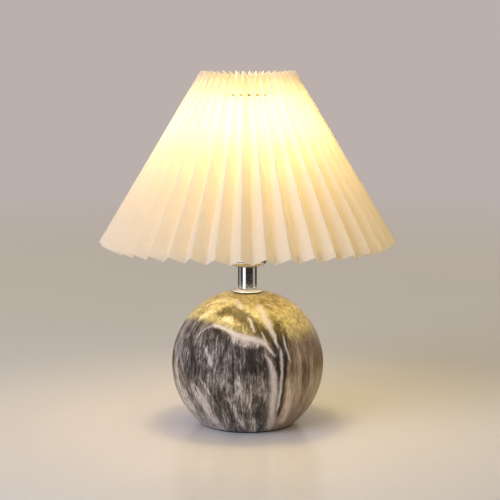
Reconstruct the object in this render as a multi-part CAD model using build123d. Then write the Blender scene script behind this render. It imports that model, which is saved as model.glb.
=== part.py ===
from build123d import *
from math import asin, cos, degrees, pi, radians, sin, sqrt, tan
import os

# Bedside lamp: a hollow ceramic ball on a threaded rod, a chrome neck, an E27 lampholder with
# an LED bulb, and a pleated fabric shade gathered by a drawstring over a wire frame.
# Millimetres, +Z up, origin on the table under the lamp's axis, front towards -Y.

# Ceramic ball
ball_radius = 75.3
ball_wall = 5.0
shoulder_angle = 40.0
shoulder_tightening = 7.5
foot_radius = 46.0
foot_rounding = 1.2
recess_radius = 36.0
recess_depth = 7.0
floor_thickness = 5.0
floor_hole_radius = 22.0
seat_radius = 20.0
seat_thickness = 8.0

# Foot pad and the clamp under the ball
pad_thickness = 1.0
pad_inset = 1.5
plate_radius = 30.0
plate_thickness = 1.5
plate_gasket_thickness = 1.0
washer_radius = 8.5
washer_thickness = 0.8
nut_across_flats = 14.0
bottom_nut_height = 3.0
rod_end_below_nut = 0.3

# Threaded rod that carries everything
rod_radius = 5.0
rod_bore_radius = 3.5
rod_end_above_nut = 1.5
thread_clearance = 0.05
rod_hole_clearance = 0.25

# Cable inlet at the back of the ball
inlet_above_floor = 1.9
inlet_hole_radius = 6.0
grommet_bore_radius = 3.4
grommet_flange_radius = 8.5
grommet_flange_height = 2.2
grommet_lip_radius = 7.4
grommet_lip_height = 2.5
grommet_fit = 0.05

# Chrome neck
collar_gasket_radius = 13.2
collar_gasket_thickness = 1.2
collar_radius = 14.1
collar_thickness = 3.0
collar_rounding = 1.6
spigot_height = 3.0
tube_radius = 9.4
tube_wall = 1.0
tube_length = 21.4
tube_fit = 0.1

# E27 lampholder
bulb_cap_radius = 13.05
bulb_thread_play = 0.3
shell_wall = 0.5
shell_air_gap = 3.35
shell_length = 21.0
shell_lip_width = 2.9
skirt_spigot_wall = 1.2
skirt_wall = 2.3
skirt_spigot_length = 9.0
skirt_thread_length = 15.0
skirt_nose_length = 16.0
skirt_nose_inset = 0.9
skirt_rim_rounding = 0.8
holder_fit = 0.1
cap_wall = 1.0
cap_floor = 2.5
cap_height = 23.7
cap_rounding = 6.0
dome_radius = 45.0
dome_flat_radius = 9.0
locknut_height = 3.5
insulator_fit = 0.2
insulator_flange_inset = 0.5
insulator_above_flange_seat = 7.0
insulator_cavity_radius = 11.0
insulator_roof_below_top = 13.0
terminal_width = 5.0
terminal_depth = 6.0
terminal_height = 7.0
terminal_offset = 6.0
terminal_screw_radius = 1.3
terminal_head_radius = 2.1
terminal_head_height = 1.4
screw_slot_width = 0.6
screw_slot_depth = 0.7
contact_thickness = 0.6
contact_width = 5.0
contact_rise = 2.8
contact_gap = 0.1

# Shade ring that clamps the carrier on the lampholder
flange_thickness = 2.0
carrier_seat_width = 3.0
shade_ring_clearance = 0.15
shade_ring_gap = 0.1
shade_ring_wall = 3.8
shade_ring_height = 8.0
shade_ring_lip = 1.0
shade_ring_lip_height = 2.0
shade_ring_groove_count = 24
shade_ring_groove_radius = 0.9

# Wire frame of the shade
carrier_play = 1.5
carrier_thickness = 1.5
carrier_width = 10.0
arm_count = 4
arm_radius = 1.25
arm_start_from_ring = 1.5
arm_weld_depth = 0.2
frame_ring_wire_radius = 1.5
rib_count = 4
rib_radius = 1.25
arm_azimuth = 45.0
weld_overlap = 0.5
top_ring_below_top = 20.0

# Pleated shade
pleat_count = 40
ridge_azimuth = -92.5
shade_top_radius = 45.4
shade_hem_radius = 146.0
fold_length = 194.79
panel_width = 16.0
fabric_edge_thickness = 0.5
fabric_clearance = 0.3
hem_below_ring = 2.4
string_below_top = 23.0
string_from_valley = 6.4
string_radius = 0.9
string_clearance = 0.3
knot_radius = 1.45
knot_pleat = 20

# LED bulb
bulb_radius = 30.0
bulb_center_above_tip = 88.0
diffuser_below_center = 6.0
diffuser_wall = 1.2
housing_wall = 1.5
housing_neck_radius = 14.0
housing_neck_length = 6.0
housing_plug_depth = 8.0
bulb_cap_wall = 0.4
bulb_cap_length = 21.0
bulb_cap_fit = 0.1
bulb_tip_radius = 4.6
bulb_tip_height = 1.6
bulb_tip_rounding = 0.6
bulb_insulator_height = 4.5
bulb_insulator_bottom_radius = 6.5
board_thickness = 1.6
board_below_rim = 3.0
board_fit = 0.2
board_ledge_width = 2.0

# Heights of the stack, from the table up
foot_z = pad_thickness
ball_center_z = foot_z + sqrt(ball_radius**2 - foot_radius**2)
floor_z = foot_z + recess_depth
floor_top_z = floor_z + floor_thickness
shoulder_radius = ball_radius - shoulder_tightening
shoulder_center_x = shoulder_tightening * cos(radians(shoulder_angle))
shoulder_center_z = ball_center_z + shoulder_tightening * sin(radians(shoulder_angle))
seat_z = shoulder_center_z + sqrt(shoulder_radius**2 - (seat_radius - shoulder_center_x)**2)
plate_top_z = floor_z - plate_gasket_thickness
washer_top_z = plate_top_z - plate_thickness
bottom_nut_top_z = washer_top_z - washer_thickness
bottom_nut_z = bottom_nut_top_z - bottom_nut_height
collar_z = seat_z + collar_gasket_thickness
collar_top_z = collar_z + collar_thickness
tube_top_z = collar_top_z + tube_length
cap_rim_z = tube_top_z + cap_height
flange_top_z = cap_rim_z + flange_thickness
carrier_top_z = flange_top_z + carrier_thickness
locknut_z = tube_top_z + cap_floor
rod_top_z = locknut_z + locknut_height + rod_end_above_nut
arm_z = carrier_top_z + arm_radius - arm_weld_depth

# Radii of the lampholder, from the bulb's cap outwards
shell_bore = bulb_cap_radius + bulb_thread_play
shell_radius = shell_bore + shell_wall
skirt_bore = shell_radius + shell_air_gap
skirt_spigot_radius = skirt_bore + skirt_spigot_wall
skirt_radius = skirt_bore + skirt_wall
cap_bore = skirt_spigot_radius + holder_fit
cap_radius = cap_bore + cap_wall
carrier_hole = skirt_radius + carrier_play
flange_radius = carrier_hole + carrier_seat_width
carrier_radius = carrier_hole + carrier_width
shade_ring_bore = skirt_radius + shade_ring_clearance
shade_ring_radius = shade_ring_bore + shade_ring_wall
shade_ring_lip_radius = shade_ring_radius + shade_ring_lip

# Cable inlet, as low at the back as the ball's floor lets the grommet's lip go
cavity_radius = ball_radius - ball_wall
lip_drop = ball_center_z - floor_top_z - inlet_above_floor
inlet_angle = asin(lip_drop / cavity_radius) - asin(grommet_lip_radius / cavity_radius)

# Seat of the insulator in the cap's rounded corner, and what stands on it
insulator_flange_radius = cap_bore - insulator_flange_inset
dome_center_z = tube_top_z + sqrt(dome_radius**2 - dome_flat_radius**2)
corner_x = cap_radius - cap_rounding
corner_z = dome_center_z - sqrt((dome_radius - cap_rounding)**2 - corner_x**2)
corner_bore = cap_rounding - cap_wall
insulator_z = corner_z - sqrt(corner_bore**2 - (insulator_flange_radius + holder_fit - corner_x)**2)
skirt_z = cap_rim_z - skirt_spigot_length
skirt_thread_top_z = flange_top_z + skirt_thread_length
skirt_top_z = skirt_thread_top_z + skirt_nose_length
insulator_top_z = flange_top_z + insulator_above_flange_seat
cavity_roof_z = insulator_top_z - insulator_roof_below_top
contact_top_z = insulator_top_z + contact_thickness + contact_rise

# Heights of the bulb
bulb_tip_z = contact_top_z + contact_gap
bulb_insulator_z = bulb_tip_z + bulb_tip_height
bulb_cap_z = bulb_insulator_z + bulb_insulator_height
bulb_cap_top_z = bulb_cap_z + bulb_cap_length
bulb_center_z = bulb_tip_z + bulb_center_above_tip
diffuser_rim_z = bulb_center_z - diffuser_below_center
diffuser_rim_radius = sqrt(bulb_radius**2 - diffuser_below_center**2)
bulb_cap_bore = bulb_cap_radius - bulb_cap_wall

# Lines of the pleats in the upright plane through a fold
half_pitch = pi / pleat_count
spread = shade_hem_radius - shade_top_radius
fold_rise = sqrt(fold_length**2 - spread**2)
hem_z = arm_z - hem_below_ring
shade_top_z = hem_z + fold_rise
inward = fold_rise / fold_length
downward = spread / fold_length


def pleat_depth(ridge_radius):
    """Depth of a pleat whose two panels keep their flat width at this radius."""
    half_chord = 1 - cos(half_pitch)
    lean = ridge_radius * inward * half_chord
    return lean + sqrt(lean**2 + panel_width**2 - 2 * ridge_radius**2 * half_chord)


def fold_end(ridge_radius, ridge_z, is_valley, is_inside):
    """Radius and height of one end of a fold line."""
    depth = pleat_depth(ridge_radius)
    mean_radius = ridge_radius - depth * inward / 2
    mitre = fabric_edge_thickness * panel_width / (mean_radius * sin(half_pitch))
    step = depth * is_valley + mitre * is_inside
    return ridge_radius - step * inward, ridge_z - step * downward


def valley_radius(z, is_inside):
    """Radius of the valley folds at a height, on the outer or the inner face."""
    top_radius, top_z = fold_end(shade_top_radius, shade_top_z, True, is_inside)
    low_radius, low_z = fold_end(shade_hem_radius, hem_z, True, is_inside)
    return top_radius + (top_z - z) * (low_radius - top_radius) / (top_z - low_z)


# Frame rings lie just inside the valley folds
frame_offset = (frame_ring_wire_radius + fabric_clearance) / inward
top_ring_z = shade_top_z - top_ring_below_top
top_ring_radius = valley_radius(top_ring_z, True) - frame_offset
bottom_ring_radius = valley_radius(arm_z, True) - frame_offset
string_z = shade_top_z - string_below_top
string_ring_radius = valley_radius(string_z, False) + string_from_valley


def disc(radius, bottom, top):
    """Upright cylinder on the lamp's axis."""
    return extrude(Plane.XY.offset(bottom) * Circle(radius), top - bottom)


def tube(outer, inner, bottom, top):
    """Upright tube on the lamp's axis."""
    return extrude(Plane.XY.offset(bottom) * (Circle(outer) - Circle(inner)), top - bottom)


def ball_of(radius, z):
    """Sphere on the lamp's axis."""
    return Pos(0, 0, z) * Sphere(radius)


def turned(*edges):
    """Solid turned about the lamp's axis from a closed outline of radius and height."""
    return revolve(Plane.XZ * make_face(edges), Axis.Z)


def hex_nut(bottom, top):
    """Hexagon nut with chamfered corners on the threaded rod."""
    corner_radius = nut_across_flats / sqrt(3)
    blank = extrude(Plane.XY.offset(bottom) * RegularPolygon(corner_radius, 6), top - bottom)
    crown = disc(corner_radius, bottom, top)
    crown = chamfer(crown.edges().filter_by(GeomType.CIRCLE), corner_radius - nut_across_flats / 2)
    return (blank & crown) - disc(rod_radius + thread_clearance, bottom, top)


def rim_edges(solid, radius, z):
    """Circular edges of a turned solid at one radius and height."""
    circles = solid.edges().filter_by(GeomType.CIRCLE)
    return [e for e in circles if abs(e.radius - radius) < 1e-6 and abs(e.arc_center.Z - z) < 1e-6]


def wire(start, end, radius):
    """Straight round wire between two points."""
    path = Line(start, end)
    return sweep(Plane(path @ 0, z_dir=path % 0) * Circle(radius), path)


def around(azimuth, radius, z):
    """Point at an azimuth in degrees about the lamp's axis."""
    return Vector(radius * cos(radians(azimuth)), radius * sin(radians(azimuth)), z)


def inlet_place():
    """Place at the ball's centre that looks out through the cable inlet."""
    outward = (0, cos(inlet_angle), -sin(inlet_angle))
    return Plane(origin=(0, 0, ball_center_z), x_dir=(1, 0, 0), z_dir=outward)


def turned_ball(inset, top_z):
    """Ball drawn in by an inset up to a flat top, with a tighter curve over its shoulder than below it."""
    low_radius = ball_radius - inset
    high_radius = shoulder_radius - inset
    low_angle = radians(shoulder_angle)
    high_angle = asin((top_z - shoulder_center_z) / high_radius)
    reach = high_radius * tan((high_angle - low_angle) / 4) * 4 / 3
    side = Vector(low_radius * cos(low_angle), ball_center_z + low_radius * sin(low_angle))
    side_way = Vector(-sin(low_angle), cos(low_angle))
    top = Vector(shoulder_center_x + high_radius * cos(high_angle), top_z)
    top_way = Vector(-sin(high_angle), cos(high_angle))
    foot = (0, ball_center_z - low_radius)
    return turned(
        CenterArc((0, ball_center_z), low_radius, -90, 90 + shoulder_angle),
        Bezier(side, side + side_way * reach, top - top_way * reach, top),
        Polyline(top, (0, top_z), foot),
    )


def make_ceramic_ball():
    """Hollow ball with a foot ring, a floor, a ground seat on top and a cable hole."""
    ball = turned_ball(0, seat_z) & disc(ball_radius, foot_z, seat_z)
    ball = fillet(rim_edges(ball, foot_radius, foot_z), foot_rounding)
    roof_z = seat_z - seat_thickness
    ball -= turned_ball(ball_wall, roof_z) & disc(ball_radius, floor_top_z, roof_z)
    ball -= disc(recess_radius, foot_z, floor_z)
    ball -= disc(floor_hole_radius, floor_z, floor_top_z)
    ball -= disc(rod_radius + rod_hole_clearance, roof_z, seat_z)
    hole = extrude(Plane.XY.offset(cavity_radius / 2) * Circle(inlet_hole_radius), ball_radius)
    return ball - inlet_place() * hole


def make_cable_grommet():
    """Rubber bush that lines the cable hole, with a flange outside and a lip inside."""
    outer_end = ball_radius + grommet_flange_height
    inner_end = cavity_radius - grommet_lip_height
    flange = disc(grommet_flange_radius, cavity_radius, outer_end)
    flange = fillet(rim_edges(flange, grommet_flange_radius, outer_end), grommet_flange_height / 2)
    flange -= ball_of(ball_radius + grommet_fit, 0)
    lip = disc(grommet_lip_radius, inner_end, ball_radius) & ball_of(cavity_radius - grommet_fit, 0)
    bush = flange + disc(inlet_hole_radius - grommet_fit, inner_end, ball_radius + grommet_fit) + lip
    return inlet_place() * (bush - disc(grommet_bore_radius, inner_end, outer_end))


def make_neck_collar():
    """Flanged collar that covers the gasket and centres the neck tube."""
    collar = disc(collar_radius, collar_z, collar_top_z)
    collar = fillet(rim_edges(collar, collar_radius, collar_top_z), collar_rounding)
    spigot_radius = tube_radius - tube_wall - tube_fit
    collar += disc(spigot_radius, collar_z, collar_top_z + spigot_height)
    return collar - disc(rod_radius + rod_hole_clearance, collar_z, collar_top_z + spigot_height)


def domed_cup(inset, bottom_z):
    """Cup drawn in by an inset: domed floor cut flat at its middle, rounded corner and straight wall."""
    lean = degrees(asin(corner_x / (dome_radius - cap_rounding)))
    wall_radius = cap_radius - inset
    low_point = (0, dome_center_z - dome_radius + inset)
    cup = turned(
        CenterArc((0, dome_center_z), dome_radius - inset, -90, lean),
        CenterArc((corner_x, corner_z), cap_rounding - inset, lean - 90, 90 - lean),
        Polyline((wall_radius, corner_z), (wall_radius, cap_rim_z), (0, cap_rim_z), low_point),
    )
    return cup & disc(dome_radius, bottom_z, cap_rim_z)


def make_holder_cap():
    """Domed cup of the lampholder with its threaded floor."""
    bore = disc(rod_radius + thread_clearance, tube_top_z, locknut_z)
    return domed_cup(0.0, tube_top_z) - domed_cup(cap_wall, locknut_z) - bore


def make_holder_insulator():
    """Ceramic core of the lampholder, hollow below for the terminals."""
    core = disc(insulator_flange_radius, insulator_z, skirt_z)
    core += disc(skirt_bore - insulator_fit, skirt_z, insulator_top_z)
    return core - disc(insulator_cavity_radius, insulator_z, cavity_roof_z)


def make_holder_skirt():
    """Outer sleeve of the lampholder: spigot, flange for the shade, threaded part and plain nose."""
    nose_radius = skirt_radius - skirt_nose_inset
    nose = disc(nose_radius, skirt_thread_top_z, skirt_top_z)
    nose = fillet(rim_edges(nose, nose_radius, skirt_top_z), skirt_rim_rounding)
    skirt = disc(skirt_spigot_radius, skirt_z, cap_rim_z) + disc(flange_radius, cap_rim_z, flange_top_z)
    skirt += disc(skirt_radius, flange_top_z, skirt_thread_top_z)
    return skirt + nose - disc(skirt_bore, skirt_z, skirt_top_z)


def make_screw_shell():
    """Threaded metal shell that takes the bulb's cap."""
    base_z = insulator_top_z
    wall = tube(shell_radius, shell_bore, base_z, base_z + shell_length)
    return wall + tube(shell_radius, shell_bore - shell_lip_width, base_z, base_z + shell_wall)


def make_centre_contact():
    """Bent spring tongue under the bulb's tip."""
    reach = shell_bore - shell_lip_width - contact_thickness
    low_z = insulator_top_z + contact_thickness / 2
    high_z = low_z + contact_rise
    bend = reach / 3
    line = Polyline((-reach + bend, low_z), (-bend, low_z), (0, high_z), (bend, high_z))
    strip = Plane.XZ * trace(line, contact_thickness)
    return extrude(strip, contact_width / 2, both=True)


def make_terminals():
    """Pair of terminal blocks under the insulator's roof, and their slotted screws."""
    blocks = []
    screws = []
    low_z = cavity_roof_z - terminal_height
    shank_radius = terminal_screw_radius - thread_clearance
    for side in (-1, 1):
        place = Pos(side * terminal_offset, 0, 0)
        plan = Rectangle(terminal_width, terminal_depth) - Circle(terminal_screw_radius)
        blocks.append(place * extrude(Plane.XY.offset(low_z) * plan, terminal_height))
        head_z = low_z - terminal_head_height
        screw = disc(terminal_head_radius, head_z, low_z) + disc(shank_radius, low_z, cavity_roof_z)
        slot = Rectangle(2 * terminal_head_radius, screw_slot_width)
        screw -= extrude(Plane.XY.offset(head_z) * slot, screw_slot_depth)
        screws.append(place * screw)
    return Compound(blocks), Compound(screws)


def make_shade_ring():
    """Ribbed ring nut that holds the carrier down on the lampholder's flange."""
    low_z = carrier_top_z + shade_ring_gap
    ring = tube(shade_ring_radius, shade_ring_bore, low_z, low_z + shade_ring_height)
    grip_z = low_z + shade_ring_lip_height
    groove = disc(shade_ring_groove_radius, grip_z, low_z + shade_ring_height)
    ring -= PolarLocations(shade_ring_radius, shade_ring_groove_count) * groove
    return ring + tube(shade_ring_lip_radius, shade_ring_bore, low_z, grip_z)


def make_frame():
    """Carrier, arms, rings and ribs of the wire frame, with the wires coped against the rings."""
    carrier = tube(carrier_radius, carrier_hole, flange_top_z, carrier_top_z)
    bottom_ring = Pos(0, 0, arm_z) * Torus(bottom_ring_radius, frame_ring_wire_radius)
    top_ring = Pos(0, 0, top_ring_z) * Torus(top_ring_radius, frame_ring_wire_radius)
    arms = []
    for index in range(arm_count):
        azimuth = arm_azimuth + index * 360 / arm_count
        start = around(azimuth, shade_ring_lip_radius + arm_start_from_ring, arm_z)
        end = around(azimuth, bottom_ring_radius - weld_overlap, arm_z)
        arms.append(wire(start, end, arm_radius) - carrier - bottom_ring)
    ribs = []
    for index in range(rib_count):
        azimuth = index * 360 / rib_count
        start = around(azimuth, bottom_ring_radius, arm_z)
        end = around(azimuth, top_ring_radius, top_ring_z)
        ribs.append(wire(start, end, rib_radius) - bottom_ring - top_ring)
    return {
        "carrier_ring": carrier,
        "spider_arms": Compound([arm.solid() for arm in arms]),
        "bottom_ring": bottom_ring,
        "frame_ribs": Compound([rib.solid() for rib in ribs]),
        "top_ring": top_ring,
    }


def fold_line(index, is_inside):
    """Top and hem points of one fold; even folds are ridges, odd ones are valleys."""
    azimuth = ridge_azimuth + index * 180 / pleat_count
    is_valley = index % 2 == 1
    top = fold_end(shade_top_radius, shade_top_z, is_valley, is_inside)
    hem = fold_end(shade_hem_radius, hem_z, is_valley, is_inside)
    return around(azimuth, *top), around(azimuth, *hem)


def ruled_face(first, second):
    """Panel between two straight edges, each given by its ends."""
    return Face.make_surface_from_curves(Edge.make_line(*first), Edge.make_line(*second))


def make_shade_fabric():
    """Accordion-pleated cover: each fold line is straight and each panel a ruled face."""
    fold_count = 2 * pleat_count
    faces = []
    for index in range(fold_count):
        next_index = (index + 1) % fold_count
        outer, next_outer = fold_line(index, False), fold_line(next_index, False)
        inner, next_inner = fold_line(index, True), fold_line(next_index, True)
        faces.append(ruled_face(outer, next_outer))
        faces.append(ruled_face(inner, next_inner))
        for end in (0, 1):
            faces.append(ruled_face((outer[end], next_outer[end]), (inner[end], next_inner[end])))
    cover = Solid(Shell(faces))
    return cover - Pos(0, 0, string_z) * Torus(string_ring_radius, string_radius + string_clearance)


def make_drawstring():
    """Cord threaded through the pleats, with its knot inside one pleat at the back."""
    cord = Pos(0, 0, string_z) * Torus(string_ring_radius, string_radius)
    knot = Pos(string_ring_radius, 0, string_z) * Sphere(knot_radius)
    return Rot(0, 0, ridge_azimuth + knot_pleat * 360 / pleat_count) * (cord + knot)


def make_bulb():
    """LED bulb: tip, insulator, screw cap, plastic housing, board and opal diffuser."""
    tip = disc(bulb_tip_radius, bulb_tip_z, bulb_insulator_z)
    tip = fillet(rim_edges(tip, bulb_tip_radius, bulb_tip_z), bulb_tip_rounding)
    insulator = Pos(0, 0, bulb_insulator_z) * Cone(
        bulb_insulator_bottom_radius,
        bulb_cap_bore,
        bulb_insulator_height,
        align=(Align.CENTER, Align.CENTER, Align.MIN),
    )
    cap = tube(bulb_cap_radius, bulb_cap_bore, bulb_cap_z, bulb_cap_top_z)
    cap += tube(bulb_cap_radius, bulb_insulator_bottom_radius, bulb_cap_z, bulb_cap_z + bulb_cap_wall)

    plug_radius = bulb_cap_bore - bulb_cap_fit
    plug_z = bulb_cap_top_z - housing_plug_depth
    neck_top_z = bulb_cap_top_z + housing_neck_length
    flare_length = (diffuser_rim_z - neck_top_z) / 2
    board_seat_z = diffuser_rim_z - board_below_rim - board_thickness
    mouth_radius = diffuser_rim_radius - housing_wall
    ledge_radius = mouth_radius - board_ledge_width
    outside = [
        Polyline((plug_radius, plug_z), (plug_radius, bulb_cap_top_z), (housing_neck_radius, bulb_cap_top_z),
                 (housing_neck_radius, neck_top_z)),
        Bezier((housing_neck_radius, neck_top_z), (housing_neck_radius, neck_top_z + flare_length),
               (diffuser_rim_radius, diffuser_rim_z - flare_length), (diffuser_rim_radius, diffuser_rim_z)),
    ]
    neck_bore = plug_radius - housing_wall
    inside = [
        Polyline((diffuser_rim_radius, diffuser_rim_z), (mouth_radius, diffuser_rim_z),
                 (mouth_radius, board_seat_z), (ledge_radius, board_seat_z)),
        Bezier((ledge_radius, board_seat_z), (ledge_radius, board_seat_z - flare_length),
               (neck_bore, neck_top_z + flare_length), (neck_bore, neck_top_z)),
        Polyline((neck_bore, neck_top_z), (neck_bore, plug_z), (plug_radius, plug_z)),
    ]
    housing = turned(*outside, *inside)
    board = disc(mouth_radius - board_fit, board_seat_z, board_seat_z + board_thickness)

    above_rim = disc(2 * bulb_radius, diffuser_rim_z, bulb_center_z + bulb_radius)
    dome = ball_of(bulb_radius, bulb_center_z) & above_rim
    diffuser = dome - ball_of(bulb_radius - diffuser_wall, bulb_center_z)
    return {
        "bulb_contact": tip,
        "bulb_insulator": insulator,
        "bulb_cap": cap,
        "bulb_housing": housing,
        "led_board": board,
        "bulb_diffuser": diffuser,
    }


def make_parts():
    """Every piece of the lamp by name."""
    terminal_blocks, terminal_screws = make_terminals()
    rod_hole = rod_radius + rod_hole_clearance
    tube_bore = tube_radius - tube_wall
    parts = {
        "foot_pad": disc(foot_radius - pad_inset, 0, foot_z),
        "ceramic_ball": make_ceramic_ball(),
        "plate_gasket": tube(plate_radius, floor_hole_radius, plate_top_z, floor_z),
        "bottom_plate": tube(plate_radius, rod_hole, washer_top_z, plate_top_z),
        "lock_washer": tube(washer_radius, rod_hole, bottom_nut_top_z, washer_top_z),
        "bottom_nut": hex_nut(bottom_nut_z, bottom_nut_top_z),
        "threaded_rod": tube(rod_radius, rod_bore_radius, bottom_nut_z - rod_end_below_nut, rod_top_z),
        "cable_grommet": make_cable_grommet(),
        "collar_gasket": tube(collar_gasket_radius, rod_hole, seat_z, collar_z),
        "neck_collar": make_neck_collar(),
        "neck_tube": tube(tube_radius, tube_bore, collar_top_z, tube_top_z),
        "holder_cap": make_holder_cap(),
        "cap_locknut": hex_nut(locknut_z, locknut_z + locknut_height),
        "holder_insulator": make_holder_insulator(),
        "terminal_blocks": terminal_blocks,
        "terminal_screws": terminal_screws,
        "screw_shell": make_screw_shell(),
        "centre_contact": make_centre_contact(),
        "holder_skirt": make_holder_skirt(),
        "shade_ring": make_shade_ring(),
        "shade_fabric": make_shade_fabric(),
        "drawstring": make_drawstring(),
    }
    parts.update(make_frame())
    parts.update(make_bulb())
    return parts


os.makedirs("parts", exist_ok=True)
for name, shape in make_parts().items():
    shape.label = name
    export_step(shape, f"parts/{name}.step")
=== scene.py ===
from math import cos, pi, radians, sin, sqrt, tau

import bpy
import numpy as np
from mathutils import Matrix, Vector


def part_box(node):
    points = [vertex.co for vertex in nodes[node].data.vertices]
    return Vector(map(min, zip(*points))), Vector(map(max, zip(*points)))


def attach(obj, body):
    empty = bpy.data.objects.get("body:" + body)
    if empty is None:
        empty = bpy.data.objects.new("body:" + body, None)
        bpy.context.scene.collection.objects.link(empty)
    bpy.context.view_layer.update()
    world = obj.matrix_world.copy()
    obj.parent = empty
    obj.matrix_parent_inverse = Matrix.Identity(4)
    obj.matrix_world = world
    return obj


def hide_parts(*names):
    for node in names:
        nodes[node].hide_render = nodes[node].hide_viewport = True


# Bedside lamp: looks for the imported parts. Sizes are in millimetres unless a name says otherwise,
# and meshes are made in metres. Front towards -Y, azimuths in degrees from +X towards +Y.

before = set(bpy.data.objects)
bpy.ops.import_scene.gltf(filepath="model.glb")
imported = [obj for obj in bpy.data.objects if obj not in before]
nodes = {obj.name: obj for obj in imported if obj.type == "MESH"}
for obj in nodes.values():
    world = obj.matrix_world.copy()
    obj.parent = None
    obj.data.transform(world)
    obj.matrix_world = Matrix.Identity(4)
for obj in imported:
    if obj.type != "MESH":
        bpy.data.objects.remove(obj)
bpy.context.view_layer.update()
MM = 0.001


def tint(red, green, blue):
    """Linear colour with alpha from a display colour of 0 to 255 per channel."""
    shares = [channel / 255 for channel in (red, green, blue)]
    return tuple(s / 12.92 if s <= 0.04045 else ((s + 0.055) / 1.055) ** 2.4 for s in shares) + (1.0,)


class Paint:
    """A procedural material, with short calls that add and link its nodes."""

    def __init__(self, name):
        self.material = bpy.data.materials.new(name)
        self.material.use_nodes = True
        self.tree = self.material.node_tree
        self.tree.nodes.clear()
        self.output = self.tree.nodes.new("ShaderNodeOutputMaterial")
        self.place = self.add("TexCoord").outputs["Object"]

    def put(self, socket, value):
        """Links a socket to another socket, or sets its own value."""
        if isinstance(value, bpy.types.NodeSocket):
            self.tree.links.new(value, socket)
        else:
            socket.default_value = value

    def add(self, kind, inputs=None, **settings):
        """New node with its settings and inputs."""
        node = self.tree.nodes.new("ShaderNode" + kind)
        for name, value in settings.items():
            setattr(node, name, value)
        for name, value in (inputs or {}).items():
            self.put(node.inputs[name], value)
        return node

    def math(self, operation, *values):
        return self.add("Math", dict(enumerate(values)), operation=operation).outputs[0]

    def vector(self, operation, *values):
        return self.add("VectorMath", dict(enumerate(values)), operation=operation).outputs[0]

    def parts(self, vector):
        """The X, Y and Z sockets of a vector."""
        return self.add("SeparateXYZ", {0: vector}).outputs

    def joined(self, x, y, z):
        return self.add("CombineXYZ", {0: x, 1: y, 2: z}).outputs[0]

    def noise(self, place, scale, detail=4.0, roughness=0.55, distortion=0.0, as_color=False):
        inputs = {"Vector": place, "Scale": scale, "Detail": detail, "Roughness": roughness}
        inputs["Distortion"] = distortion
        return self.add("TexNoise", inputs).outputs[1 if as_color else 0]

    def span(self, value, low, high, to_low=0.0, to_high=1.0, smooth=True):
        """Value carried from low..high to to_low..to_high, and held beyond both ends."""
        inputs = {0: value, 1: low, 2: high, 3: to_low, 4: to_high}
        kind = "SMOOTHSTEP" if smooth else "LINEAR"
        return self.add("MapRange", inputs, interpolation_type=kind).outputs[0]

    def ramp(self, share, stops):
        """Colours of a ramp at the given stops."""
        node = self.add("ValToRGB", {0: share})
        marks = node.color_ramp.elements
        while len(marks) < len(stops):
            marks.new(1.0)
        for mark, (position, color) in zip(marks, stops):
            mark.position = position
            mark.color = color
        return node.outputs[0]

    def mix(self, share, first, second):
        """Two colours mixed, with a share of the second."""
        node = self.add("Mix", {0: share, 6: first, 7: second}, data_type="RGBA")
        return node.outputs[2]

    def bump(self, height, distance, strength=1.0):
        """Normal from a height of 0 to 1 that stands for a distance in millimetres."""
        inputs = {"Height": height, "Distance": distance * MM, "Strength": strength}
        return self.add("Bump", inputs).outputs[0]

    def principled(self, **inputs):
        named = {name.replace("_", " "): value for name, value in inputs.items()}
        return self.add("BsdfPrincipled", named).outputs[0]

    def mixed(self, share, first, second):
        """Two shaders mixed, with a share of the second."""
        return self.add("MixShader", {0: share, 1: first, 2: second}).outputs[0]

    def finish(self, shader):
        self.put(self.output.inputs["Surface"], shader)
        return self.material

    def line(self, along, points):
        """Across value of a smooth line through (along, across) points."""
        first, last = points[0][0], points[-1][0]
        low = min(across for _, across in points)
        reach = max(across for _, across in points) - low or 1.0
        node = self.add("FloatCurve", {"Value": self.span(along, first, last, smooth=False)})
        knots = node.mapping.curves[0].points
        while len(knots) < len(points):
            knots.new(0.5, 0.5)
        for knot, (at, across) in zip(knots, points):
            knot.location = ((at - first) / (last - first), (across - low) / reach)
        node.mapping.update()
        return self.math("MULTIPLY_ADD", node.outputs[0], reach, low)

    def vein(self, along, across, narrowing, ragged, points, fade):
        """Mask of a vein through (along, across, half width) points that fades out at both ends."""
        middle = self.line(along, [(at, place) for at, place, _ in points])
        half = self.line(along, [(at, width) for at, _, width in points])
        offset = self.math("ABSOLUTE", self.math("SUBTRACT", across, middle))
        apart = self.math("DIVIDE", self.math("MULTIPLY", offset, narrowing), half)
        mask = self.span(self.math("ADD", apart, ragged), 0.3, 1.7, 1.0, 0.0)
        first, last = points[0][0], points[-1][0]
        rise = self.span(along, first - fade / 2, first + fade / 2)
        fall = self.span(along, last - fade / 2, last + fade / 2, 1.0, 0.0)
        return self.math("MULTIPLY", mask, self.math("MULTIPLY", rise, fall))


# Materials
BROAD_GRAINS = 12


def grained(name, dark, light, grain, rough, relief, metallic=0.0, coat=0.0):
    """Finish whose colour, gloss and relief vary with a grain of the given size."""
    paint = Paint(name)
    fine = paint.noise(paint.place, 1 / (grain * MM), detail=5)
    broad = paint.noise(paint.place, 1 / (BROAD_GRAINS * grain * MM), detail=3)
    blend = paint.math("MULTIPLY", paint.math("ADD", fine, broad), 0.5)
    color = paint.ramp(blend, [(0.3, tint(*dark)), (0.7, tint(*light))])
    gloss = paint.span(broad, 0.3, 0.7, *rough)
    inputs = {"Base_Color": color, "Metallic": metallic, "Roughness": gloss, "Coat_Weight": coat}
    return paint.finish(paint.principled(Normal=paint.bump(fine, relief), **inputs))


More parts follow.
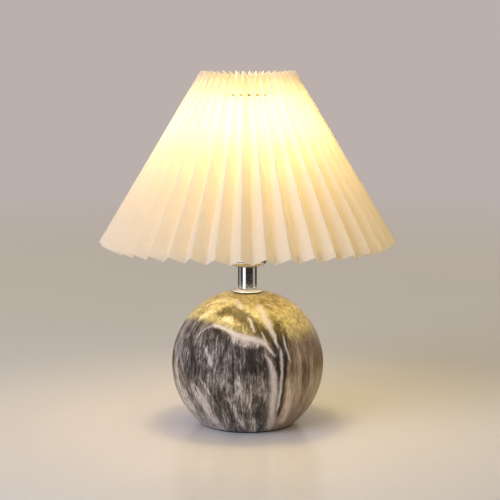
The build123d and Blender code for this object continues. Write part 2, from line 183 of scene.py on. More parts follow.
def chrome_paint():
    """Polished chrome with faint wipe marks."""
    paint = Paint("polished_chrome")
    smear = paint.noise(paint.vector("MULTIPLY", paint.place, (1, 1, 0.25)), 60.0, detail=6)
    haze = paint.noise(paint.place, 400.0, detail=2)
    color = paint.ramp(smear, [(0.2, tint(222, 222, 224)), (0.8, tint(236, 235, 232))])
    gloss = paint.span(paint.math("MULTIPLY", smear, haze), 0.1, 0.5, 0.03, 0.09)
    wave = paint.bump(paint.noise(paint.place, 90.0, detail=1), 0.01)
    return paint.finish(paint.principled(Base_Color=color, Metallic=1.0, Roughness=gloss, Normal=wave))


def threaded_steel():
    """Zinc-plated rod with a fine rolled thread."""
    paint = Paint("zinc_thread")
    height = paint.parts(paint.place)[2]
    turns = paint.math("PINGPONG", paint.math("MULTIPLY", height, 1 / MM), 0.5)
    cloud = paint.noise(paint.place, 220.0)
    color = paint.ramp(cloud, [(0.3, tint(150, 152, 158)), (0.7, tint(196, 196, 190))])
    gloss = paint.span(cloud, 0.3, 0.7, 0.24, 0.42)
    relief = paint.bump(paint.math("MULTIPLY", turns, 2.0), 0.5)
    return paint.finish(paint.principled(Base_Color=color, Metallic=1.0, Roughness=gloss, Normal=relief))


# Ball glaze, in degrees from the front and up from the ball's middle. A vein that falls has points of
# (height, azimuth, half width), and one that crosses has points of (azimuth, height, half width). Before
# them come its strength, which is negative where it darkens, and the length over which its ends fade.
BALL_CENTER = (0.0, 0.0, 60.616)
BALL_RADIUS = 75.3
WHITE_VEINS = [
    ("crosses", 1.0, 6, [(-34, 38, 1.4), (-23, 37, 1.4), (-13, 33, 2.2), (-4, 30, 2.5), (6, 28, 2.2),
                         (12, 26, 2.2), (16, 22, 1.8), (21, 16, 1.1)]),
    ("crosses", 0.5, 4, [(-46, 26, 0.6), (-41, 34, 0.9), (-34, 38, 1.3)]),
    ("crosses", 0.7, 6, [(26, 60, 1.0), (43, 53, 1.1), (52, 43, 1.0), (54, 37, 0.7)]),
    ("falls", 1.0, 5, [(22, 25, 1.0), (32, 22.5, 1.6), (46, 18.5, 2.2), (52, 17.5, 2.2), (60, 16, 1.5)]),
    ("falls", 0.9, 3, [(34, 6, 0.7), (41, 4, 1.1), (46, 1, 0.6)]),
    ("falls", 1.0, 3, [(55, -8.5, 0.8), (61, -13, 2.2), (65, -19.5, 1.0)]),
    ("falls", 0.8, 3, [(22, 16, 0.8), (28, 14.5, 0.8), (34, 12.5, 0.6)]),
    ("falls", 0.9, 9, [(-48, 24.5, 3.0), (-27, 21, 2.5), (-4, 19.5, 2.5), (5, 18.5, 2.0), (16, 14, 1.0)]),
    ("falls", 0.9, 6, [(-28, 24.5, 0.7), (-5, 25.5, 1.0), (5, 26, 1.0), (21, 26.5, 0.7)]),
    ("falls", 0.8, 5, [(10, 33.5, 0.6), (23, 31.5, 0.8), (30, 31.5, 0.6)]),
]
TONED_VEINS = [
    ("crosses", 0.10, 4, [(-14, 29, 2.0), (-6, 26, 2.5), (2, 24, 2.5), (9, 24, 2.0)]),
    ("crosses", -0.24, 8, [(-34, 49, 2.0), (-24, 53, 5.0), (-12, 51, 5.5), (-3, 46, 7.0), (7, 39, 6.5),
                           (15, 33, 5.5), (22, 27, 4.5)]),
    ("crosses", 0.12, 8, [(-67, 53, 2.0), (-53, 62, 2.5), (-32, 65, 3.5), (-17, 64, 2.5)]),
    ("crosses", 0.18, 3, [(-27, 44, 1.5), (-20, 45, 2.5), (-15, 44, 2.0)]),
    ("crosses", 0.10, 5, [(-58, 37, 2.5), (-53, 45, 3.5), (-42, 49, 2.0)]),
    ("falls", -0.28, 8, [(-4, 22, 1.0), (4, 22.5, 2.0), (11, 22.5, 4.0), (18, 23.5, 4.5), (29, 27.5, 4.0),
                         (41, 30, 2.5)]),
    ("falls", -0.24, 8, [(-32, 27, 1.0), (0, 28, 1.1), (11, 30, 1.3), (21, 32, 1.6), (34, 34.5, 1.5)]),
    ("falls", -0.24, 7, [(-46, 26.5, 1.0), (-29, 22.5, 1.0), (-5, 22.5, 1.1), (4, 23, 0.7)]),
    ("falls", 0.13, 8, [(-43, 35, 4.5), (-24, 33, 4.0), (-8, 33.5, 3.5), (0, 33.5, 1.5)]),
    ("falls", 0.13, 8, [(-50, -29.5, 3.0), (-29, -35, 4.0), (-12, -43, 4.0), (-7, -45.5, 1.5)]),
    ("falls", 0.05, 9, [(-56, -42, 6.0), (-38, -46, 7.0), (-22, -52, 5.0), (-10, -58, 2.0)]),
    ("falls", 0.10, 9, [(-52, -61, 6.0), (-25, -60, 6.0), (-8, -66, 5.0), (8, -70, 4.0)]),
    ("falls", 0.022, 12, [(-35, -58, 8.0), (0, -58, 12.0), (22, -56, 9.0)]),
    ("falls", 0.10, 4, [(-13, -7.5, 1.5), (-6, -7, 2.0), (-2, -8.5, 1.0)]),
    ("falls", 0.12, 7, [(-46, -5, 2.5), (-22, -11.5, 2.0), (-14, -14, 0.7)]),
    ("falls", 0.07, 7, [(-50, 6, 2.5), (-30, 4, 2.5), (-17, 1, 1.5)]),
    ("falls", 0.07, 4, [(7, -26.5, 1.0), (18, -33, 2.0), (23, -36, 1.0)]),
    ("falls", 0.07, 3, [(-14, -29.5, 1.0), (-8, -33, 1.5), (-2, -37, 0.7)]),
    ("falls", -0.06, 6, [(4, 3.5, 5.0), (15, 5.5, 7.5), (23, 4, 3.5)]),
    ("falls", -0.06, 5, [(8, -42, 1.5), (19, -48, 3.5), (28, -55, 2.0)]),
    ("falls", -0.06, 3, [(28, -21.5, 2.0), (33, -25, 4.0), (36, -30, 2.0)]),
    ("falls", -0.06, 4, [(-22, -49.5, 2.0), (-16, -51.5, 3.0), (-11, -56, 2.5)]),
    ("falls", -0.05, 6, [(-34, 8.5, 2.5), (-22, 8.5, 3.5), (-12, 7, 2.5)]),
    ("falls", 0.08, 8, [(-18, 56, 1.5), (10, 57, 2.0), (21, 61.5, 1.5)]),
    ("falls", 0.05, 5, [(8, 40, 2.5), (16, 43, 3.5), (25, 44.5, 2.5)]),
    ("falls", -0.07, 5, [(-12, 48, 2.0), (-1, 48, 3.0), (9, 47.5, 2.0)]),
]
MASS_TOP = [(-95, 30), (-70, 40), (-50, 42), (-36, 40), (-22, 36), (-13, 32), (2, 28), (12, 26), (16, 21),
            (19, 14)]
MASS_SIDE = [(-60, 27), (-48, 24.5), (-13, 18.5), (5, 18), (13, 15.5), (25, 14)]
MIRROR_AZIMUTH = 95.0


def marbled_glaze():
    """Grey, taupe and white marbled glaze: fibres run down the ball and veins cross its shoulder. Its top
    is painted golden, standing in for warm lamp light.
    """
    paint = Paint("marbled_glaze")
    center = [size * MM for size in BALL_CENTER]
    ball = paint.vector("SCALE", paint.vector("SUBTRACT", paint.place, center))
    ball.node.inputs["Scale"].default_value = 1 / (BALL_RADIUS * MM)

    def angles(shake, scale):
        """Azimuth from the front and height over the ball, in radians, shaken by noise."""
        push = paint.noise(ball, scale, detail=3, as_color=True)
        push = paint.vector("SUBTRACT", push, (0.5, 0.5, 0.5))
        moved = paint.vector("MULTIPLY_ADD", push, (shake, shake, shake), ball)
        moved = paint.vector("NORMALIZE", moved)
        x, y, z = paint.parts(moved)
        turn = paint.math("ARCTAN2", x, paint.math("MULTIPLY", y, -1.0))
        rise = paint.math("ARCSINE", z)
        return turn, rise

    def fibres(turn, rise, around, up, detail, roughness):
        """Noise drawn out along the ball's meridians."""
        x = paint.math("MULTIPLY", paint.math("COSINE", turn), around)
        y = paint.math("MULTIPLY", paint.math("SINE", turn), around)
        place = paint.joined(x, y, paint.math("MULTIPLY", rise, up))
        return paint.noise(place, 1.0, detail=detail, roughness=roughness)

    turn, rise = angles(shake=0.10, scale=2.4)
    grain = fibres(turn, rise, around=38.0, up=7.0, detail=5, roughness=0.78)
    patches = fibres(turn, rise, around=6.0, up=2.4, detail=4, roughness=0.62)
    long_streaks = fibres(turn, rise, around=10.0, up=1.1, detail=6, roughness=0.62)
    cloud = paint.noise(ball, 4.5, detail=9, roughness=0.70, distortion=0.6)
    mottle = paint.noise(ball, 22.0, detail=5, roughness=0.74)

    near_turn, near_rise = angles(shake=0.045, scale=8.0)
    azimuth = paint.math("MULTIPLY", near_turn, 180 / pi)
    height = paint.math("MULTIPLY", near_rise, 180 / pi)
    narrowing = paint.math("COSINE", near_rise)
    # The back repeats the front as in a mirror, so that no seam shows
    wrapped = paint.math("WRAP", paint.math("SUBTRACT", azimuth, MIRROR_AZIMUTH), 180.0, -180.0)
    azimuth = paint.math("SUBTRACT", MIRROR_AZIMUTH, paint.math("ABSOLUTE", wrapped))
    ragged = paint.math("MULTIPLY_ADD", grain, 4.5, -2.25)

    def vein_mask(kind, points, fade):
        if kind == "falls":
            return paint.vein(height, azimuth, narrowing, ragged, points, fade)
        return paint.vein(azimuth, height, 1.0, ragged, points, fade)

    shift = 0.0
    for kind, strength, fade, points in TONED_VEINS:
        shift = paint.math("MULTIPLY_ADD", vein_mask(kind, points, fade), strength, shift)
    # Single fibres take a vein's tone up more or less
    shift = paint.math("MULTIPLY", shift, paint.span(grain, 0.35, 0.65, 0.35, 1.65))
    white = 0.0
    for kind, strength, fade, points in WHITE_VEINS:
        mask = paint.math("MULTIPLY", vein_mask(kind, points, fade), strength)
        white = paint.math("MAXIMUM", mask, white)
    white = paint.math("MULTIPLY", white, paint.span(grain, 0.28, 0.58, 0.45, 1.0))

    def toned(first, share, second):
        """Two noises mixed, and moved lighter or darker by the veins."""
        both = paint.math("MULTIPLY_ADD", first, share, paint.math("MULTIPLY", second, 1.0 - share))
        return paint.math("ADD", both, shift)

    mass = paint.ramp(toned(grain, 0.62, patches),
                      [(0.37, tint(20, 17, 13)), (0.445, tint(48, 42, 36)), (0.50, tint(92, 83, 74)),
                       (0.555, tint(146, 134, 121)), (0.64, tint(210, 198, 182))])
    taupe = paint.ramp(toned(long_streaks, 0.65, grain),
                       [(0.28, tint(30, 22, 14)), (0.40, tint(95, 75, 55)), (0.50, tint(141, 117, 95)),
                        (0.58, tint(177, 155, 132)), (0.70, tint(220, 205, 186))])
    # Mottled marble of the ball's top. Its golden-olive tint is painted warm light from the lamp above;
    # the glaze itself is grey and white there.
    crown_with_painted_glow = paint.ramp(toned(cloud, 0.55, mottle),
                       [(0.26, tint(86, 74, 30)), (0.40, tint(128, 113, 62)), (0.49, tint(187, 171, 110)),
                        (0.57, tint(226, 212, 148)), (0.70, tint(242, 233, 190))])

    # The dark mass lies left of the falling veins and under the crossing one
    below = paint.span(paint.math("SUBTRACT", paint.line(azimuth, MASS_TOP), height), -3.0, 4.0)
    left = paint.span(paint.math("SUBTRACT", azimuth, paint.line(height, MASS_SIDE)), -1.5, 1.5, 1.0, 0.0)
    in_mass = paint.math("MULTIPLY", below, left)
    # The top of the ball, mottled at its edge, takes the crown colours with their painted lamp glow.
    in_painted_glow_crown = paint.span(paint.math("MULTIPLY_ADD", cloud, 16.0, height), 28.0, 46.0)
    color = paint.mix(in_painted_glow_crown, taupe, crown_with_painted_glow)
    color = paint.mix(in_mass, color, mass)
    color = paint.mix(white, color, tint(226, 216, 206))

    peel = paint.bump(paint.noise(ball, 26.0, detail=2), 0.05)
    gloss = paint.span(grain, 0.3, 0.7, 0.26, 0.36)
    return paint.finish(paint.principled(Base_Color=color, Roughness=gloss, Coat_Weight=0.08,
                                         Coat_Roughness=0.08, Normal=peel))


# Cloth: threads to the millimetre, the share of light that the cloth lets through, and the share of gaps
# in the tape at its top
THREADS_PER_MM = 2.2
CLOTH_SHEER = 0.6
TAPE_OPEN = 0.94


def woven(paint):
    """Shader of ivory cloth that lets a share of the light through, woven in its flat size."""
    flat = paint.add("UVMap", uv_map="flat").outputs[0]
    u, v, _ = paint.parts(flat)

    def streaks(across, along):
        """Noise with this many waves to the metre across and along the cloth."""
        place = paint.joined(paint.math("MULTIPLY", u, across), paint.math("MULTIPLY", v, along), 0.0)
        return paint.noise(place, 1.0)

    warp = paint.math("SINE", paint.math("MULTIPLY", u, tau * THREADS_PER_MM / MM))
    weft = paint.math("SINE", paint.math("MULTIPLY", v, tau * THREADS_PER_MM / MM))
    weave = paint.math("MULTIPLY_ADD", paint.math("MULTIPLY", warp, weft), 0.5, 0.5)
    slub = streaks(across=900.0, along=60.0)
    cloud = streaks(across=14.0, along=9.0)
    share = paint.math("MULTIPLY_ADD", slub, 0.5, paint.math("MULTIPLY", cloud, 0.5))
    face = paint.ramp(share, [(0.3, tint(242, 232, 211)), (0.7, tint(249, 242, 225))])
    through = paint.ramp(share, [(0.3, tint(252, 244, 230)), (0.7, tint(254, 250, 242))])
    threads = paint.math("MULTIPLY_ADD", slub, 0.6, paint.math("MULTIPLY", weave, 0.4))
    relief = paint.bump(threads, 0.06, 0.5)
    front = paint.principled(Base_Color=face, Roughness=0.85, Sheen_Weight=0.08, Sheen_Roughness=0.6,
                             Specular_IOR_Level=0.2, Normal=relief)
    back = paint.add("BsdfTranslucent", {"Color": through, "Normal": relief}).outputs[0]
    return paint.mixed(CLOTH_SHEER, front, back)


def shade_cloth():
    paint = Paint("ivory_cloth")
    return paint.finish(woven(paint))


def hem_tape():
    """The same cloth in an open weave, which most of the light passes straight through."""
    paint = Paint("sheer_hem_tape")
    gaps = paint.add("BsdfTransparent").outputs[0]
    return paint.finish(paint.mixed(TAPE_OPEN, woven(paint), gaps))


def twisted_cotton():
    """Tan cotton cord with fine lengthwise fibres."""
    paint = Paint("tan_cotton")
    fuzz = paint.noise(paint.place, 2600.0, detail=3)
    patch = paint.noise(paint.place, 160.0)
    share = paint.math("MULTIPLY_ADD", fuzz, 0.6, paint.math("MULTIPLY", patch, 0.4))
    color = paint.ramp(share, [(0.3, tint(80, 60, 40)), (0.7, tint(138, 108, 76))])
    gloss = paint.span(fuzz, 0.2, 0.8, 0.75, 0.95)
    relief = paint.bump(fuzz, 0.15)
    return paint.finish(paint.principled(Base_Color=color, Roughness=gloss, Sheen_Weight=0.3,
                                         Normal=relief))


OPAL_GLOW = 12.2


def opal_glow():
    """Lit opal plastic, a little warmer and dimmer towards its rim."""
    paint = Paint("lit_opal")
    low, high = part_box("bulb_diffuser")
    rise = paint.span(paint.parts(paint.place)[2], low.z, high.z, smooth=False)
    cloud = paint.noise(paint.place, 120.0, detail=3)
    share = paint.math("MULTIPLY_ADD", cloud, 0.15, paint.math("MULTIPLY", rise, 0.85))
    glow = paint.ramp(share, [(0.0, (1.0, 0.79, 0.39, 1.0)), (0.6, (1.0, 0.87, 0.50, 1.0))])
    face = paint.ramp(cloud, [(0.3, tint(240, 234, 222)), (0.7, tint(250, 246, 238))])
    gloss = paint.span(cloud, 0.3, 0.7, 0.38, 0.48)
    return paint.finish(paint.principled(Base_Color=face, Roughness=gloss, Emission_Color=glow,
                                         Emission_Strength=OPAL_GLOW))


CHROME = chrome_paint()
ZINC = grained("zinc_plate", (146, 148, 154), (198, 198, 194), 1.6, (0.22, 0.40), 0.02, metallic=1.0)
BRASS = grained("rolled_brass", (178, 138, 72), (216, 180, 108), 1.2, (0.18, 0.36), 0.02, metallic=1.0)
NICKEL = grained("nickel_shell", (186, 184, 176), (216, 214, 208), 1.4, (0.16, 0.32), 0.015, metallic=1.0)
FOAM = grained("foam_rubber", (20, 20, 20), (46, 45, 44), 0.5, (0.82, 0.96), 0.16)
RUBBER = grained("black_rubber", (16, 16, 16), (34, 33, 33), 0.4, (0.55, 0.75), 0.03)
PORCELAIN = grained("white_porcelain", (226, 221, 210), (240, 237, 230), 2.0, (0.12, 0.24), 0.03, coat=0.3)
RESIN = grained("black_resin", (18, 18, 19), (34, 34, 36), 0.6, (0.30, 0.46), 0.02)
POWDER = grained("white_powder_coat", (222, 218, 208), (240, 238, 232), 0.5, (0.38, 0.56), 0.05)
HOUSING = grained("white_moulding", (232, 231, 227), (244, 243, 240), 0.5, (0.34, 0.46), 0.012)
VITRITE = grained("black_vitrite", (10, 10, 12), (30, 30, 34), 1.5, (0.06, 0.20), 0.04)
BOARD = grained("white_board", (228, 228, 222), (242, 242, 238), 0.6, (0.40, 0.55), 0.01)
GLAZE = marbled_glaze()
CLOTH = shade_cloth()
HEM_TAPE = hem_tape()
COTTON = twisted_cotton()
OPAL = opal_glow()

NODE_PAINTS = {
    "foot_pad": FOAM, "ceramic_ball": GLAZE, "plate_gasket": RUBBER, "bottom_plate": ZINC,
    "lock_washer": ZINC, "bottom_nut": ZINC, "threaded_rod": threaded_steel(), "cable_grommet": RUBBER,
    "collar_gasket": RUBBER, "neck_collar": CHROME, "neck_tube": CHROME, "holder_cap": CHROME,
    "cap_locknut": ZINC, "holder_insulator": PORCELAIN, "terminal_blocks": BRASS, "terminal_screws": ZINC,
    "screw_shell": BRASS, "centre_contact": BRASS, "holder_skirt": CHROME, "shade_ring": RESIN,
    "carrier_ring": POWDER, "spider_arms": POWDER, "bottom_ring": POWDER, "frame_ribs": POWDER,
    "top_ring": POWDER, "bulb_contact": ZINC, "bulb_insulator": VITRITE, "bulb_cap": NICKEL,
    "bulb_housing": HOUSING, "led_board": BOARD, "bulb_diffuser": OPAL,
}
for name, paint in NODE_PAINTS.items():
    nodes[name].data.materials.clear()
    nodes[name].data.materials.append(paint)


# Meshes
SHARP_ANGLE = radians(50.0)


def piece(name, points, faces, paint, body, replaced):
    """New smooth piece from points in millimetres, with its body and the nodes it replaces."""
    mesh = bpy.data.meshes.new(name)
    mesh.from_pydata((np.asarray(points) * MM).tolist(), [], faces)
    mesh.shade_smooth()
    mesh.set_sharp_from_angle(angle=SHARP_ANGLE)
    mesh.materials.append(paint)
    thing = bpy.data.objects.new(name, mesh)
    bpy.context.scene.collection.objects.link(thing)
    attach(thing, body)
    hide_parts(*replaced)
    return thing


def ring_faces(rows, columns, start):
    """Quads of a grid that closes in both directions."""
    faces = []
    for row in range(rows):
        for column in range(columns):
            low = start + row * columns
            high = start + (row + 1) % rows * columns
            after = (column + 1) % columns
            faces.append((low + column, low + after, high + after, high + column))
    return faces


def tube_faces(rows, columns, start):
    """Quads of an open tube with both ends capped."""
    faces = ring_faces(rows, columns, start)[: (rows - 1) * columns]
    faces.append(tuple(start + column for column in reversed(range(columns))))
    faces.append(tuple(start + (rows - 1) * columns + column for column in range(columns)))
    return faces


def sweep(path, radius, sides, closed):
    """Points of a round tube along a path, with a frame carried along it."""
    path = np.asarray(path, float)
    if closed:
        along = np.roll(path, -1, 0) - np.roll(path, 1, 0)
    else:
        along = np.gradient(path, axis=0)
    along /= np.linalg.norm(along, axis=1)[:, None]
    across = np.cross(along[0], (0.3, 0.2, 1.0))
    points = []
    for spot, way in zip(path, along):
        across = across - way * (across @ way)
        across /= np.linalg.norm(across)
        beside = np.cross(way, across)
        for side in range(sides):
            turn = tau * side / sides
            points.append(spot + radius * (cos(turn) * across + sin(turn) * beside))
    return points


# Pleated cover: one closed cross-section, from the hem up, over the top and down the inside hem band
PLEATS = 40
RIDGE_AZIMUTH = -92.5
TOP_RADIUS = 45.4
HEM_RADIUS = 146.0
HEM_Z = 183.172
FOLD_LENGTH = 194.79
PANEL_WIDTH = 16.0
SPREAD = HEM_RADIUS - TOP_RADIUS
FOLD_RISE = sqrt(FOLD_LENGTH**2 - SPREAD**2)
INWARD = FOLD_RISE / FOLD_LENGTH
DOWNWARD = SPREAD / FOLD_LENGTH
CLOTH_WALL = 0.5
BAND_LENGTH = 19.0
PANEL_STOPS = (0.0, 0.035, 0.09, 0.22, 0.5, 0.78, 0.91, 0.965)

# Rows of the cross-section: counts, shares up the fold and shares of the cloth's thickness
OUTER_ROWS = 34
BAND_ROWS = 7
FACE_TOP = 0.9975
LINING_TOP = FACE_TOP - 0.003
TOP_EDGE = [(0.9992, 0.18), (1.0, 0.48), (0.9992, 0.79)]
BAND_INNER = 0.97
BAND_OUTER = 0.53
LINING = 0.44

# Unevenness of the folds: wander in degrees, stand, bulge and lift in millimetres
FOLD_SEED = 7
HEM_WANDER = 0.16
TOP_WANDER = 0.42
HEM_STAND = 0.35
TOP_STAND = 0.7
PANEL_BULGE = 0.25
BULGE_SPREAD = 0.22
BULGE_SHARE = 0.8
BULGE_DROP = 0.15
HEM_LIFT = 0.22

# How much the folds are rounded off at the hem, and what is added to that towards the top
HEM_ROUNDING = 0.006
TOP_ROUNDING = 0.030


def pleat_depth(ridge_radius):
    """Depth of a pleat whose two panels keep their flat width at this radius."""
    half_chord = 1 - cos(pi / PLEATS)
    lean = ridge_radius * INWARD * half_chord
    return lean + sqrt(lean**2 + PANEL_WIDTH**2 - 2 * ridge_radius**2 * half_chord)


def cross_section():
    """(share up the fold, share of the cloth's thickness) of the rows round the cloth."""
    band_end = 1 - BAND_LENGTH / FOLD_LENGTH
    rows = [(share, 0.0) for share in np.linspace(0.0, FACE_TOP, OUTER_ROWS)]
    rows += TOP_EDGE
    rows += [(share, BAND_INNER) for share in np.linspace(FACE_TOP, band_end, BAND_ROWS)]
    rows += [(share, BAND_OUTER) for share in np.linspace(band_end, LINING_TOP, BAND_ROWS)]
    rows += [(share, LINING) for share in np.linspace(LINING_TOP, 0.0, OUTER_ROWS)]
    return rows


def pleated_cover():
    """Accordion-pleated cloth with pressed folds, a doubled top hem and small unevenness."""
    rng = np.random.default_rng(FOLD_SEED)
    folds = 2 * PLEATS
    shift_hem = rng.normal(0, HEM_WANDER, folds)
    shift_top = rng.normal(0, TOP_WANDER, folds)
    sink_hem = rng.uniform(-HEM_STAND, 0.0, folds)
    sink_top = rng.uniform(-TOP_STAND, 0.0, folds)
    bulge = rng.normal(PANEL_BULGE, BULGE_SPREAD, folds)
    lift = rng.normal(0, HEM_LIFT, folds)

    stops = np.array(PANEL_STOPS)
    fold = np.repeat(np.arange(folds), len(stops))
    part = np.tile(stops, folds)
    after = (fold + 1) % folds
    phase = (fold % 2 + part) / 2
    base_azimuth = RIDGE_AZIMUTH + (fold + part) * 360 / folds

    def between(values):
        return values[fold] * (1 - part) + values[after] * part

    points = []
    for share, layer in cross_section():
        ridge_r = HEM_RADIUS - share * SPREAD
        ridge_z = HEM_Z + share * FOLD_RISE
        depth = (1 - share) * pleat_depth(HEM_RADIUS) + share * pleat_depth(TOP_RADIUS)
        mitre = CLOTH_WALL * PANEL_WIDTH / ((ridge_r - depth * INWARD / 2) * sin(pi / folds))
        round_off = HEM_ROUNDING + TOP_ROUNDING * share**3
        swing = np.arcsin((1 - round_off) * np.cos(tau * phase)) / np.arcsin(1 - round_off)
        sink = depth * (0.5 - swing / 2) + layer * mitre
        sink += between(sink_hem) * (1 - share) + between(sink_top) * share
        # A panel bulges most a little below its middle
        up_panel = np.sin(pi * min(share + BULGE_DROP, 1.0))
        sink += bulge[fold] * np.sin(pi * part) * up_panel * BULGE_SHARE
        radius = ridge_r - INWARD * sink
        height = ridge_z - DOWNWARD * sink + between(lift) * (1 - share) ** 6
        shift = between(shift_hem) * (1 - share) + between(shift_top) * share**2
        azimuth = np.radians(base_azimuth + shift)
        points.append(np.stack([radius * np.cos(azimuth), radius * np.sin(azimuth), height], 1))
    rows, columns = len(points), len(part)
    faces = ring_faces(rows, columns, 0)
    cover = piece("pleated_cover", np.concatenate(points), faces, CLOTH, "shade",
                  ["shade_fabric"])

    # The turned-in band at the top is a sheer tape
    cover.data.materials.append(HEM_TAPE)
    band_start = OUTER_ROWS + len(TOP_EDGE)
    band_faces = range(band_start * columns, (band_start + 2 * BAND_ROWS - 1) * columns)
    for face in band_faces:
        cover.data.polygons[face].material_index = 1

    # Flat pattern of the cloth for its weave, in metres
    shares = [share for share, _ in cross_section()]
    flat_v = [0.0]
    for share, next_share in zip(shares, shares[1:]):
        flat_v.append(flat_v[-1] + abs(next_share - share) * FOLD_LENGTH * MM)
    flat_v.append(flat_v[-1])
    flat_u = np.append((fold + part) * PANEL_WIDTH * MM, folds * PANEL_WIDTH * MM)
    layer_uv = cover.data.uv_layers.new(name="flat")
    row_index, column_index = np.divmod(np.arange(rows * columns), columns)
    low_v = np.array(flat_v)[row_index]
    high_v = np.array(flat_v)[row_index + 1]
    left_u = flat_u[column_index]
    right_u = flat_u[column_index + 1]
    corners = np.stack([left_u, low_v, right_u, low_v, right_u, high_v, left_u, high_v], 1)
    layer_uv.data.foreach_set("uv", corners.astype(np.float32).ravel())


# Drawstring: two strands twisted round each other, tied inside a pleat at the back
STRING_Z = 326.973
STRING_RING = 47.756
STRAND_RADIUS = 0.46
STRAND_OFFSET = 0.43
STRING_TWISTS = 96
STEPS_PER_TWIST = 9
STRAND_SIDES = 6
KNOT_AZIMUTH = 87.5
KNOT_STEPS = 60
KNOT_SIZE = 0.42
KNOT_DEPTH = 0.62
KNOT_RADIUS = 0.5
TAIL_STEPS = 12
TAIL_START = 0.8
TAIL_LENGTH = 14.0
TAIL_GAP = 0.5
TAIL_SPREAD = 0.9
TAIL_BOW = 0.8


def drawstring():
    """Twisted ring with its knot and two tails."""
    points, faces = [], []
    steps = STRING_TWISTS * STEPS_PER_TWIST
    for strand in range(2):
        path = []
        for step in range(steps):
            around = tau * step / steps
            twist = STRING_TWISTS * around + strand * pi
            radius = STRING_RING + STRAND_OFFSET * cos(twist)
            height = STRING_Z + STRAND_OFFSET * sin(twist)
            path.append((radius * cos(around), radius * sin(around), height))
        faces += ring_faces(steps, STRAND_SIDES, len(points))
        points += sweep(path, STRAND_RADIUS, STRAND_SIDES, True)

    # The knot is a trefoil, and two tails hang from it
    turn = radians(KNOT_AZIMUTH)
    outward = np.array([cos(turn), sin(turn), 0.0])
    sideways = np.array([-sin(turn), cos(turn), 0.0])
    upright = np.array([0.0, 0.0, 1.0])
    spot = outward * STRING_RING + upright * STRING_Z
    loop = []
    for step in range(KNOT_STEPS):
        t = tau * step / KNOT_STEPS
        a = sin(t) + 2 * sin(2 * t)
        b = cos(t) - 2 * cos(2 * t)
        c = -sin(3 * t)
        loop.append(spot + KNOT_SIZE * (a * sideways + b * upright) + KNOT_DEPTH * c * outward)
    faces += ring_faces(KNOT_STEPS, STRAND_SIDES, len(points))
    points += sweep(loop, KNOT_RADIUS, STRAND_SIDES, True)
    for side in (-1, 1):
        tail = []
        for step in range(TAIL_STEPS):
            share = step / (TAIL_STEPS - 1)
            spread = side * (TAIL_GAP + TAIL_SPREAD * sin(share * pi / 2))
            bow = TAIL_BOW * sin(share * pi)
            fall = TAIL_START + TAIL_LENGTH * share
            tail.append(spot + sideways * spread + outward * bow - upright * fall)
        faces += tube_faces(TAIL_STEPS, STRAND_SIDES, len(points))
        points += sweep(tail, KNOT_RADIUS, STRAND_SIDES, False)
    piece("twisted_drawstring", points, faces, COTTON, "shade", ["drawstring"])


pleated_cover()
drawstring()


# Stage, in metres
FLOOR_TINT = tint(240, 232, 221)
FLOOR_SHADE = 0.96
BACKDROP_TINT = tint(187, 176, 172)
FLOOR_REACH = 40.0
FADE_START = 0.7
FADE_END = 3.0


def stage_plane(name, corners, paint):
    """Flat stage piece, whose glow is only seen and lights nothing."""
    paint.cycles.emission_sampling = "NONE"
    mesh = bpy.data.meshes.new(name)
    mesh.from_pydata(corners, [], [tuple(range(len(corners)))])
    mesh.materials.append(paint)
    thing = bpy.data.objects.new(name, mesh)
    bpy.context.scene.collection.objects.link(thing)
    return thing


def seen_directly(nodes_of):
    """Socket that is 1 for rays from the camera and for rays that reflections and glass send on."""
    rays = nodes_of.new("ShaderNodeLightPath")
    total = rays.outputs["Is Camera Ray"]
    for kind in ("Is Glossy Ray", "Is Transmission Ray"):
        step = nodes_of.new("ShaderNodeMath")
        step.operation = "MAXIMUM"
        nodes_of.id_data.links.new(total, step.inputs[0])
        nodes_of.id_data.links.new(rays.outputs[kind], step.inputs[1])
        total = step.outputs[0]
    return total


def floor_paint():
    """Pale floor that fades into the background far from the lamp."""
    paint = Paint("pale_floor")
    cloud = paint.noise(paint.place, 3.0, detail=5)
    darker = tuple(FLOOR_SHADE * channel for channel in FLOOR_TINT[:3]) + (1.0,)
    color = paint.ramp(cloud, [(0.3, darker), (0.7, FLOOR_TINT)])
    near = paint.principled(Base_Color=color, Roughness=0.2, Specular_IOR_Level=0.5)
    far = paint.add("Emission", {"Color": BACKDROP_TINT}).outputs[0]
    away = paint.add("VectorMath", {0: paint.place}, operation="LENGTH").outputs["Value"]
    fade = paint.math("MULTIPLY", paint.span(away, FADE_START, FADE_END), seen_directly(paint.tree.nodes))
    return paint.finish(paint.mixed(fade, near, far))


floor_corners = [(x * FLOOR_REACH, y * FLOOR_REACH, 0) for x, y in ((-1, -1), (1, -1), (1, 1), (-1, 1))]
stage_plane("floor", floor_corners, floor_paint())

# Cards on the floor, seen only in reflections, give the chrome its bands. Each has its first and last
# azimuth from the front in degrees, its nearest and farthest distance in metres, a colour and a glow.
CARD_LIFT = 0.001
CARD_STEPS = 48
DARK = tint(14, 14, 16)
BRIGHT = tint(250, 250, 250)
CREAM = tint(255, 246, 205)
GOLDEN = tint(150, 112, 40)
CARDS = {
    "golden_card": (-180, 180, 0.30, 0.55, GOLDEN, 0.0),
    "cream_card": (-180, 180, 0.80, 0.88, CREAM, 0.9),
    "golden_card_far": (-180, 180, 1.18, 1.5, GOLDEN, 0.0),
}
for ring, near, far in (("inner", 0.55, 0.80), ("middle", 0.884, 1.18), ("outer", 1.5, 4.0)):
    CARDS[f"dark_card_left_{ring}"] = (-95, -57, near, far, DARK, 0.0)
    CARDS[f"bright_card_{ring}"] = (-57, -25, near, far, BRIGHT, 0.8)
    CARDS[f"dark_card_front_{ring}"] = (-25, 69, near, far, DARK, 0.0)
    CARDS[f"dark_card_right_{ring}"] = (104, 150, near, far, DARK, 0.0)
    CARDS[f"dark_card_back_{ring}"] = (175, 245, near, far, DARK, 0.0)


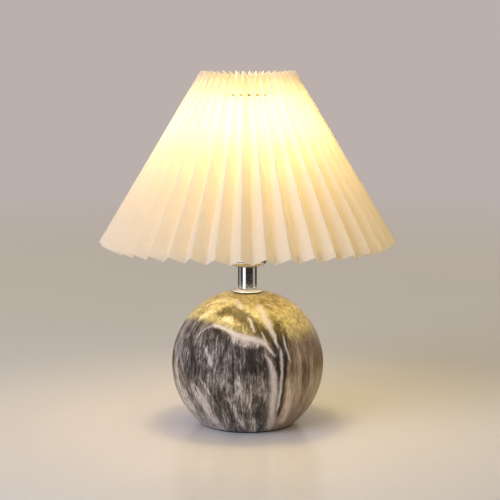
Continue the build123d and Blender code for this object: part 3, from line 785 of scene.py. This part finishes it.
def reflection_card(name, start, end, near, far, color, glow):
    """Sector of a ring on the floor that only rays from above see."""
    paint = Paint(name)
    upper = paint.principled(Base_Color=color, Roughness=0.9, Emission_Color=color,
                             Emission_Strength=glow)
    lower = paint.add("BsdfTransparent").outputs[0]
    is_lower = paint.add("NewGeometry").outputs["Backfacing"]
    turns = [radians(start + (end - start) * step / CARD_STEPS) for step in range(CARD_STEPS + 1)]
    rim = [(near * sin(turn), -near * cos(turn), CARD_LIFT) for turn in reversed(turns)]
    rim += [(far * sin(turn), -far * cos(turn), CARD_LIFT) for turn in turns]
    thing = stage_plane(name, rim, paint.finish(paint.mixed(is_lower, upper, lower)))
    thing.visible_camera = False
    thing.visible_diffuse = False
    thing.visible_shadow = False
    thing.visible_transmission = False


for name, facts in CARDS.items():
    reflection_card(name, *facts)

# Light: a warm fill all round, a cool soft key from the left, and the bulb
FILL_LEVEL = 0.46
FILL_COLOR = (1.0, 0.93, 0.64, 1.0)
KEY_PLACE = (-1.15, -1.25, 0.95)
KEY_AIM = (0.0, 0.0, 0.2)
KEY_SIZE = 1.3
KEY_WATTS = 27.5
KEY_COLOR = (0.51, 0.60, 1.0)
BULB_LIFT = 0.004
BULB_WATTS = 0.43
BULB_COLOR = (1.0, 0.87, 0.53)
SPILL_WATTS = 0.13
SPILL_COLOR = (1.0, 0.72, 0.25)

world = bpy.data.worlds.new("studio")
bpy.context.scene.world = world
world.use_nodes = True
sky = world.node_tree
sky.nodes.clear()
sky_out = sky.nodes.new("ShaderNodeOutputWorld")
fill = sky.nodes.new("ShaderNodeBackground")
fill.inputs["Color"].default_value = FILL_COLOR
fill.inputs["Strength"].default_value = FILL_LEVEL
seen = sky.nodes.new("ShaderNodeBackground")
seen.inputs["Color"].default_value = BACKDROP_TINT
choose = sky.nodes.new("ShaderNodeMixShader")
sky.links.new(seen_directly(sky.nodes), choose.inputs[0])
sky.links.new(fill.outputs[0], choose.inputs[1])
sky.links.new(seen.outputs[0], choose.inputs[2])
sky.links.new(choose.outputs[0], sky_out.inputs["Surface"])


def lamp(name, kind, place, watts, color, aim=None, **settings):
    """Light at a place in metres, turned towards a point."""
    data = bpy.data.lights.new(name, kind)
    data.energy = watts
    data.color = color
    for key, value in settings.items():
        setattr(data, key, value)
    thing = bpy.data.objects.new(name, data)
    bpy.context.scene.collection.objects.link(thing)
    thing.location = place
    if aim is not None:
        way = Vector([end - start for start, end in zip(place, aim)])
        thing.rotation_euler = way.to_track_quat("-Z", "Y").to_euler()
    return thing


key = lamp("key", "AREA", KEY_PLACE, KEY_WATTS, KEY_COLOR, KEY_AIM, shape="RECTANGLE", size=KEY_SIZE,
           size_y=KEY_SIZE)
key.visible_glossy = False

# The bulb's own light above its housing: a half-space cone that starts at the diffuser's rim, and a spill
# all round. What stands round the two lamps casts no shadow.
bulb_place = (0.0, 0.0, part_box("bulb_diffuser")[0].z + BULB_LIFT)
lamp("bulb_light", "SPOT", bulb_place, BULB_WATTS, BULB_COLOR, (0.0, 0.0, 1.0), spot_size=pi,
     spot_blend=0.12, shadow_soft_size=0.012)
lamp("bulb_spill", "POINT", bulb_place, SPILL_WATTS, SPILL_COLOR, shadow_soft_size=0.02)
for name in ("bulb_diffuser", "bulb_housing", "led_board"):
    nodes[name].visible_shadow = False

# Camera at the photo's viewing angle
CAMERA_PLACE = (0.00242, -1.42427, 0.35559)
CAMERA_DIP = 0.127
CAMERA_LENS = 104.62
camera = bpy.data.cameras.new("camera")
camera.sensor_width = 36.0
camera.lens = CAMERA_LENS
viewer = bpy.data.objects.new("camera", camera)
bpy.context.scene.collection.objects.link(viewer)
viewer.location = CAMERA_PLACE
viewer.rotation_euler = (pi / 2 - CAMERA_DIP, 0.0, 0.0)
bpy.context.scene.camera = viewer
bpy.context.scene.view_settings.view_transform = "Standard"
